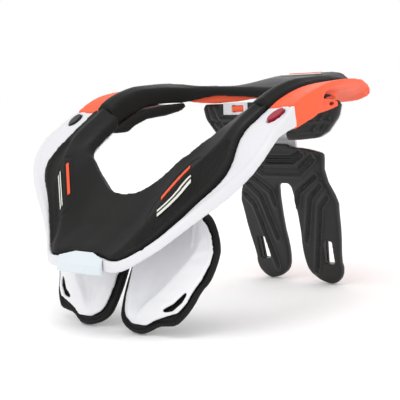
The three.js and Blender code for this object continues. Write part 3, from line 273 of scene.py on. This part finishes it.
def band_crease(points, normals):
    """A crease 0.8 mm deep and 2 mm wide at 5 mm from the frame's edge, on the top face, and 0.9 mm more
    room inside the pockets, below the plate."""
    crease_depth, inset, half_width, room = 0.0008, 0.0050, 0.0010, 0.0009
    flat = folded(points, 1)
    crease = bell(away(flat, FRAME_EDGE), inset, half_width)
    side, back, up = (np.column_stack([flat, points[:, 2]]) - BUTTON).T
    rise = up * math.cos(POCKET_SLOPE) - back * math.sin(POCKET_SLOPE)
    climb = back * math.cos(POCKET_SLOPE) + up * math.sin(POCKET_SLOPE)
    along = (math.sin(POCKET_TURN) * side + math.cos(POCKET_TURN) * climb) / POCKET_HALF_LENGTH
    across = (math.sin(POCKET_TURN) * climb - math.cos(POCKET_TURN) * side) / POCKET_HALF_WIDTH
    oval = ramp(-np.hypot(along, across), -1.0, -0.92)
    pocket = oval * ramp(-rise, -0.0002, 0.001) * ramp(rise, -0.009, -0.007)
    return -crease_depth * crease * ramp(normals[:, 2], 0.4, 0.7) * (1 - oval) - room * pocket


recast("frame_skin", "front_frame", voxel=0.0012, rounds=7, material=white,
       body="front_half", shape=band_crease)


# Chest shields: dished white plates of 2.4 mm. A small gusset 3 mm wide and 14 mm long stands near the
# upper outer corner of each, where the plate is stiffened under the bracket.
GUSSET = [(0.0655, 0.085), (0.0700, 0.071)]


def gusset(points, normals):
    """A ridge of 1.6 mm along the gusset's line, on the front of the plate alone."""
    height, half_width = 0.0016, 0.0016
    ridge = bell(away(folded(points, 2), GUSSET), 0, half_width)
    return height * ridge * ramp(-normals[:, 1], 0.2, 0.6)


# Painted light: the shields are the same white nylon as the frame, but their colour is painted lighter (0.82
# against 0.71) to brighten them where they lie in shade under the collar.
painted_light_white = moulded("painted_light_white", (0.82, 0.82, 0.845), (0.77, 0.77, 0.79), rough=0.34, grain=1400, bump=0.06)
for side in ("left", "right"):
    recast(f"shield_{side}", f"chest_shield_{side}", voxel=0.0009, rounds=14, material=painted_light_white,
           body="front_half", shape=gusset)


# Orange nylon: the rear shell with its tail, the guards at the shoulders and the two pins that hold the
# strut. The shell is moulded in one piece, with rims rounded over about 1 mm and a duller skin.
orange = moulded("orange_nylon", (0.92, 0.140, 0.066), (0.85, 0.12, 0.054), rough=0.55, grain=1400, bump=0.06,
                 shine=0.08)
recast("shell_skin", "rear_shell", voxel=0.0011, rounds=3, material=orange,
       body="rear_half")
for side in ("left", "right"):
    shell(f"shoulder_guard_{side}", orange, rim=0.0008)
    shell(f"strut_pin_{side}", orange, rim=0.0006)


# Black closed-cell foam. The pads round the neck and on the chest have a matt skin, and where the
# attribute ribbed is one it carries crossed ribs 1.3 mm apart. The back pads are pressed smoother.
def knurl_group():
    """Height of crossed ribs: the product of two waves along the diagonals, times the attribute ribbed."""
    group = bpy.data.node_groups.new("knurled_skin", "ShaderNodeTree")
    face = group.interface
    face.new_socket("Pitch", in_out="INPUT", socket_type="NodeSocketFloat").default_value = 0.0013
    face.new_socket("Height", in_out="OUTPUT", socket_type="NodeSocketFloat")
    enter = group.nodes.new("NodeGroupInput")
    leave = group.nodes.new("NodeGroupOutput")
    place = group.nodes.new("ShaderNodeTexCoord")
    apart = group.nodes.new("ShaderNodeSeparateXYZ")
    group.links.new(place.outputs["Object"], apart.inputs["Vector"])
    zone = group.nodes.new("ShaderNodeAttribute")
    zone.attribute_name = "ribbed"
    product = zone.outputs["Fac"]
    for operation in ("ADD", "SUBTRACT"):
        mix = group.nodes.new("ShaderNodeMath")
        mix.operation = operation
        group.links.new(apart.outputs["X"], mix.inputs[0])
        group.links.new(apart.outputs["Y"], mix.inputs[1])
        turns = group.nodes.new("ShaderNodeMath")
        turns.operation = "DIVIDE"
        group.links.new(mix.outputs[0], turns.inputs[0])
        group.links.new(enter.outputs["Pitch"], turns.inputs[1])
        wave = group.nodes.new("ShaderNodeMath")
        wave.operation = "PINGPONG"
        wave.inputs[1].default_value = 1.0
        group.links.new(turns.outputs[0], wave.inputs[0])
        times = group.nodes.new("ShaderNodeMath")
        times.operation = "MULTIPLY"
        group.links.new(product, times.inputs[0])
        group.links.new(wave.outputs[0], times.inputs[1])
        product = times.outputs[0]
    group.links.new(product, leave.inputs["Height"])
    return group


RIB_HEIGHT = 0.0006
foam = moulded("black_foam", (0.0100, 0.0100, 0.0094), (0.0070, 0.0070, 0.0068), rough=0.55, grain=2600,
               bump=0.3, shine=0.16)
pressed = moulded("pressed_foam", (0.0095, 0.0095, 0.0090), (0.0070, 0.0070, 0.0068), rough=0.38, grain=2600,
                  bump=0.12, shine=0.4)
foam_tree = foam.node_tree
knurl = foam_tree.nodes.new("ShaderNodeGroup")
knurl.node_tree = knurl_group()
ribs = foam_tree.nodes.new("ShaderNodeBump")
ribs.inputs["Strength"].default_value = 1.0
ribs.inputs["Distance"].default_value = RIB_HEIGHT
foam_normal = foam_tree.nodes["Principled BSDF"].inputs["Normal"]
fine = foam_normal.links[0].from_node
foam_tree.links.new(knurl.outputs["Height"], ribs.inputs["Height"])
foam_tree.links.new(fine.outputs["Normal"], ribs.inputs["Normal"])
foam_tree.links.new(ribs.outputs["Normal"], foam_normal)


# Front foam: a pressed pad 9 mm thick from the chest to both arms. Its outer zones, between the ridge
# and the edge, are recessed by 0.9 mm and knurled, and a groove runs round each pair of inlay bars.
KNURLED = np.array([
    (0.0470, -0.1525), (0.0650, -0.1380), (0.0830, -0.1240), (0.0970, -0.1140), (0.1045, -0.1060),
    (0.1060, -0.0990), (0.1005, -0.0850), (0.0940, -0.0840), (0.0880, -0.0985), (0.0780, -0.1100),
    (0.0660, -0.1205), (0.0585, -0.1290), (0.0490, -0.1420), (0.0470, -0.1525)])
BARS = [(0.0575, -0.1270), (0.0775, -0.1095)]


def inside(flat, outline):
    """Whether flat points lie within a closed outline, by the number of its sides above each point."""
    x, y = flat[:, :1], flat[:, 1:]
    x0, y0 = outline[:-1].T
    x1, y1 = outline[1:].T
    crosses = (x0 > x) != (x1 > x)
    run = np.where(x1 == x0, 1, x1 - x0)
    return ((crosses & (y < y0 + (x - x0) * (y1 - y0) / run)).sum(axis=1) % 2).astype(bool)


def knurled(points):
    """One in the knurled zones, zero beyond them, with a rise over 1.2 mm inside their outline."""
    flat = folded(points, 1)
    return inside(flat, KNURLED) * ramp(away(flat, KNURLED), 0.0004, 0.0016)


def front_relief(points, normals):
    """The recess of the knurled zones and the groove 8.5 mm round the bars, on the top face alone."""
    recess, groove_depth, spacing, half_width = 0.0009, 0.0007, 0.0085, 0.0009
    groove = bell(away(folded(points, 1), BARS), spacing, half_width)
    return -(recess * knurled(points) + groove_depth * groove) * ramp(normals[:, 2], 0.2, 0.5)


front_pad = recast("front_pad", "front_foam", voxel=0.0015, rounds=5, material=foam,
                   body="front_half", shape=front_relief)
front_points = np.empty(3 * len(front_pad.data.vertices))
front_pad.data.vertices.foreach_get("co", front_points)
ribbed = front_pad.data.attributes.new("ribbed", "FLOAT", "POINT")
ribbed.data.foreach_set("value", knurled(front_points.reshape(-1, 3)))

# Ring foam: the padded ring round the neck and the raised pad on the tail, 7 mm of the same foam with
# its corners rounded over 3 mm.
ring_pad = recast("ring_pad", "rear_foam", voxel=0.0015, rounds=6, material=foam,
                  body="rear_half")


# Chest pads: 6 mm foam behind the shields. The rim that shows past the shield is a round bead 4 mm wide
# with a groove inside it.
def bead(points, normals):
    """A bead 1.8 mm and a groove 4.6 mm from the outline, which is where the skin faces sideways."""
    bead_height, bead_inset, bead_width = 0.0007, 0.0018, 0.0012
    groove_depth, groove_inset, groove_width = 0.0008, 0.0046, 0.0008
    border = points[np.abs(normals[:, 1]) < 0.35][:, [0, 2]]
    outline = KDTree(len(border))
    for number, (x, z) in enumerate(border):
        outline.insert((x, z, 0), number)
    outline.balance()
    inward = np.array([outline.find((x, z, 0))[2] for x, z in points[:, [0, 2]]])
    lift = bead_height * bell(inward, bead_inset, bead_width)
    press = groove_depth * bell(inward, groove_inset, groove_width)
    return (lift - press) * ramp(-normals[:, 1], 0.4, 0.8)


for side in ("left", "right"):
    chest_foam = recast(f"chest_foam_{side}", f"chest_pad_{side}", voxel=0.0011, rounds=4, material=foam,
                        body="front_half", shape=bead)


# Shoulder pads: soft cushions under the ring, 28 mm wide, of the same foam. They swell towards the neck
# and downwards, and their corners are rounder than those of the other pads.
def swell(points, normals):
    """A swelling of 1.8 mm below and of 1.2 mm on the side of the neck."""
    below, inner = 0.0018, 0.0012
    neckwards = -normals[:, 0] * np.sign(points[:, 0])
    return below * ramp(-normals[:, 2], 0.0, 0.8) + inner * ramp(neckwards, 0.0, 0.8)


for side in ("left", "right"):
    shoulder_foam = recast(f"shoulder_foam_{side}", f"shoulder_pad_{side}", voxel=0.0014, rounds=8,
                           material=foam, body="rear_half", shape=swell)


# Leg panel: 6 mm foam with grooves pressed between raised bands. The lines are the grooves of the
# solid, bars across the top and bent ones down each leg, in shares of its half width and height.
LEG_SIZE = np.array([0.060, 0.1354])
LEG_LINES = [
    [(0.000, 0.900), (0.240, 0.900), (0.433, 0.937)],
    [(0.000, 0.869), (0.283, 0.869), (0.483, 0.923)],
    [(0.000, 0.823), (0.367, 0.823), (0.667, 0.915)],
    [(0.000, 0.790), (0.390, 0.790), (0.700, 0.893)],
    [(0.677, 0.773), (0.283, 0.656), (0.225, 0.561)],
    [(0.745, 0.711), (0.505, 0.617), (0.300, 0.310)],
    [(0.843, 0.630), (0.675, 0.556), (0.405, 0.094)],
]


def leg_relief(points, normals):
    """Grooves 1 mm deep along the lines, and a rounded shoulder 3.4 mm to each side of them."""
    groove_depth, groove_width = 0.0010, 0.0012
    shoulder_height, shoulder_inset, shoulder_width = 0.0008, 0.0034, 0.0013
    near = np.min([away(folded(points, 2), np.array(line) * LEG_SIZE) for line in LEG_LINES], axis=0)
    groove = groove_depth * bell(near, 0, groove_width)
    shoulder = shoulder_height * bell(near, shoulder_inset, shoulder_width)
    return (shoulder - groove) * ramp(-normals[:, 1], 0.3, 0.7)


leg_foam = recast("leg_foam", "leg_panel", voxel=0.0011, rounds=3, material=pressed,
                  body="rear_half", shape=leg_relief)


# Upper back pad: 9 mm foam, 166 x 35 mm, with two stepped grooves that follow each rounded end, in
# shares of its half width and height over its lower edge.
BACK_SIZE = np.array([0.083, 0.035])
BACK_FLOOR = 0.1389
BACK_LINES = [
    [(0.920, 0.920), (0.880, 0.600), (0.740, 0.200)],
    [(0.830, 0.920), (0.780, 0.640), (0.620, 0.200)],
]


def back_relief(points, normals):
    """Grooves 1 mm deep along the lines at each end of the pad, on its front face."""
    groove_depth, groove_width = 0.001, 0.0011
    flat = folded(points, 2) - (0, BACK_FLOOR)
    near = np.min([away(flat, np.array(line) * BACK_SIZE) for line in BACK_LINES], axis=0)
    return -groove_depth * bell(near, 0, groove_width) * ramp(-normals[:, 1], 0.3, 0.7)


back_foam = recast("back_foam", "upper_back_pad", voxel=0.0010, rounds=4, material=pressed,
                   body="rear_half", shape=back_relief)


# Plain parts: hinge cap, mount block and leg shell in grained black nylon, the pale tag over the front
# rim, and the clear red button. All are moulded, with rims rounded by about half a millimetre.
black = moulded("black_nylon", (0.010, 0.010, 0.010), (0.015, 0.015, 0.015), rough=0.45, grain=1800, bump=0.2)
for node in ("hinge_cap", "back_mount", "leg_shell"):
    shell(node, black, rim=0.0006)
tag_skin = moulded("pale_tag", (0.66, 0.715, 0.745), (0.62, 0.68, 0.71), rough=0.24, grain=1400, bump=0.04)
recast("tag_face", "front_tag", voxel=0.0004, rounds=8, material=tag_skin,
       body="front_half")
red = moulded("red_button", (0.34, 0.006, 0.028), (0.26, 0.006, 0.024), rough=0.16, grain=1400, bump=0.02,
              spread=0.04, shine=0.15)
red.node_tree.nodes["Principled BSDF"].inputs["Coat Weight"].default_value = 0.1
shell("release_button", red, rim=0.0006)


# Inlay bars: soft strips of white and orange rubber let into the foam in place of the maker's graphics.
# The white ones in front are pairs, parted by a dark groove along the middle.
def groove_group():
    """One within the groove, zero beyond: the groove runs along the middle line of a front bar, whose
    distance in plan is the dot of the sizes of x and y with the line's normal, less its offset."""
    group = bpy.data.node_groups.new("bar_groove", "ShaderNodeTree")
    face = group.interface
    face.new_socket("Normal", in_out="INPUT", socket_type="NodeSocketVector").default_value = (0.618, 0.786, 0)
    face.new_socket("Offset", in_out="INPUT", socket_type="NodeSocketFloat").default_value = 0.1384
    face.new_socket("Half Width", in_out="INPUT", socket_type="NodeSocketFloat").default_value = 0.0004
    face.new_socket("Groove", in_out="OUTPUT", socket_type="NodeSocketFloat")
    enter = group.nodes.new("NodeGroupInput")
    leave = group.nodes.new("NodeGroupOutput")
    place = group.nodes.new("ShaderNodeTexCoord")
    sizes = group.nodes.new("ShaderNodeVectorMath")
    sizes.operation = "ABSOLUTE"
    group.links.new(place.outputs["Object"], sizes.inputs[0])
    across = group.nodes.new("ShaderNodeVectorMath")
    across.operation = "DOT_PRODUCT"
    group.links.new(sizes.outputs["Vector"], across.inputs[0])
    group.links.new(enter.outputs["Normal"], across.inputs[1])
    within = group.nodes.new("ShaderNodeMath")
    within.operation = "COMPARE"
    group.links.new(across.outputs["Value"], within.inputs[0])
    group.links.new(enter.outputs["Offset"], within.inputs[1])
    group.links.new(enter.outputs["Half Width"], within.inputs[2])
    group.links.new(within.outputs[0], leave.inputs["Groove"])
    return group


bar_groove = groove_group()


def grooved(name, plain):
    """A copy of a bar's material with a dark groove along the bar's middle."""
    material = plain.copy()
    material.name = name
    links = material.node_tree.links
    base = material.node_tree.nodes["Principled BSDF"].inputs["Base Color"]
    line = material.node_tree.nodes.new("ShaderNodeGroup")
    line.node_tree = bar_groove
    dark = material.node_tree.nodes.new("ShaderNodeMix")
    dark.data_type = "RGBA"
    dark.inputs["B"].default_value = (0.012, 0.012, 0.012, 1)
    links.new(line.outputs["Groove"], dark.inputs["Factor"])
    links.new(base.links[0].from_socket, dark.inputs["A"])
    links.new(dark.outputs["Result"], base)
    return material


bar_white = moulded("white_inlay", (0.74, 0.74, 0.67), (0.68, 0.68, 0.62), rough=0.5, grain=1800, bump=0.1)
bar_orange = moulded("orange_inlay", (0.85, 0.10, 0.03), (0.78, 0.08, 0.02), rough=0.5, grain=1800, bump=0.1)
shell("rear_inlay", bar_white, rim=0.0003)
for side in ("left", "right"):
    shell(f"front_inlay_{side}", grooved("grooved_inlay_" + side, bar_white), rim=0.0003)
for node in ("front_accent_left", "front_accent_right", "rear_accent"):
    shell(node, bar_orange, rim=0.0003)
